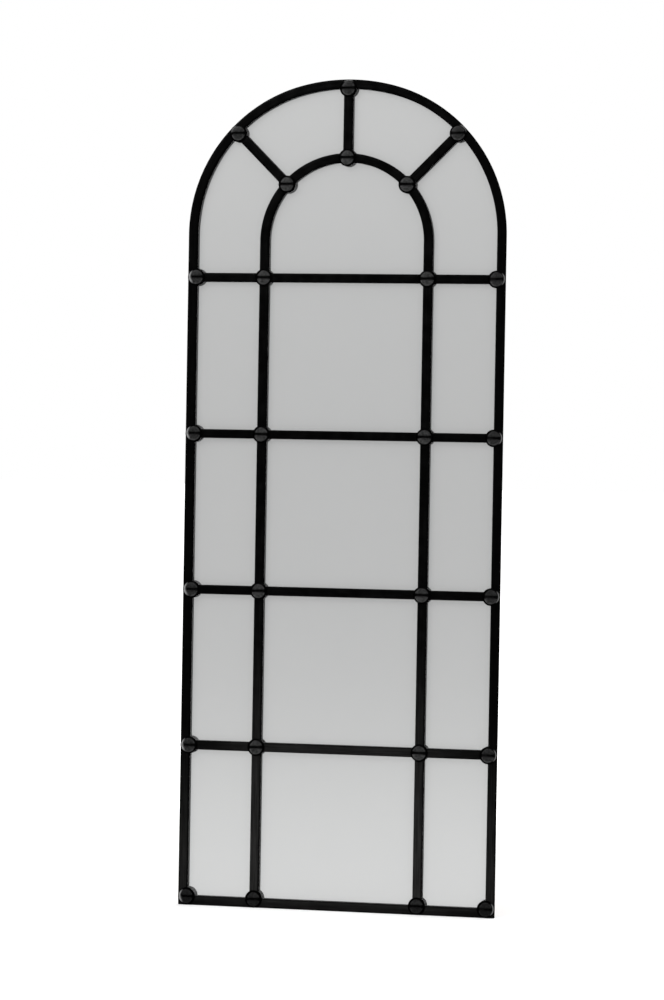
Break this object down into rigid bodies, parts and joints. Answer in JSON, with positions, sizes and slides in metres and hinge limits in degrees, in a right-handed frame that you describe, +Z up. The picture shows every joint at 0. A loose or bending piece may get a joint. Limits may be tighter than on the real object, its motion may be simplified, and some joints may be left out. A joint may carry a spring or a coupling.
{
  "type": "arched window-pane floor mirror",
  "caption": "Tall arched mirror behind a black iron window grille with slotted studs, with a backing board and hanging rings.",
  "frame": {"origin": "middle of the bottom rail's underside, at half the depth of the bars", "axes": "+Z up, +X to the right as seen from the front, +Y from the front to the back, so the front faces -Y"},
  "size_m": [0.7, 0.0385, 1.798],
  "materials": {
    "black_iron": "satin black paint on flat iron bar",
    "cast_studs": "charcoal, slightly mottled cast surface",
    "glazing_tape": "matt black foam tape",
    "mirror_glass": "plain silvered float glass",
    "backing_board": "brown hardboard",
    "zinc_steel": "zinc plated sheet, wire and screws",
    "bumper_rubber": "matt black rubber"
  },
  "bodies": {
    "mirror": {"left_stile": "black_iron", "right_stile": "black_iron", "outer_arch": "black_iron", "bottom_rail": "black_iron", "left_upright": "black_iron", "right_upright": "black_iron", "inner_arch": "black_iron", "cross_bar_1_left": "black_iron", "cross_bar_1_centre": "black_iron", "cross_bar_1_right": "black_iron", "cross_bar_2_left": "black_iron", "cross_bar_2_centre": "black_iron", "cross_bar_2_right": "black_iron", "cross_bar_3_left": "black_iron", "cross_bar_3_centre": "black_iron", "cross_bar_3_right": "black_iron", "cross_bar_4_left": "black_iron", "cross_bar_4_centre": "black_iron", "cross_bar_4_right": "black_iron", "left_spoke": "black_iron", "middle_spoke": "black_iron", "right_spoke": "black_iron", "foot_studs": "cast_studs", "row_1_studs": "cast_studs", "row_2_studs": "cast_studs", "row_3_studs": "cast_studs", "row_4_studs": "cast_studs", "outer_arch_studs": "cast_studs", "inner_arch_studs": "cast_studs", "glazing_tape": "glazing_tape", "mirror_glass": "mirror_glass", "backing_board": "backing_board", "retaining_clips": "zinc_steel", "clip_screws": "zinc_steel", "left_hanger_bracket": "zinc_steel", "right_hanger_bracket": "zinc_steel", "hanger_screws": "zinc_steel", "wall_bumpers": "bumper_rubber"},
    "left_ring": {"left_hanging_ring": "zinc_steel"},
    "right_ring": {"right_hanging_ring": "zinc_steel"}
  },
  "joints": [
    {"name": "left_ring_swing", "type": "hinge", "parent": "mirror", "child": "left_ring", "pos_m": [-0.313, 0.0213, 1.39981], "axis": [1, 0, 0], "range_deg": [0, 180]},
    {"name": "right_ring_swing", "type": "hinge", "parent": "mirror", "child": "right_ring", "pos_m": [0.313, 0.0213, 1.39981], "axis": [1, 0, 0], "range_deg": [0, 180]}
  ]
}
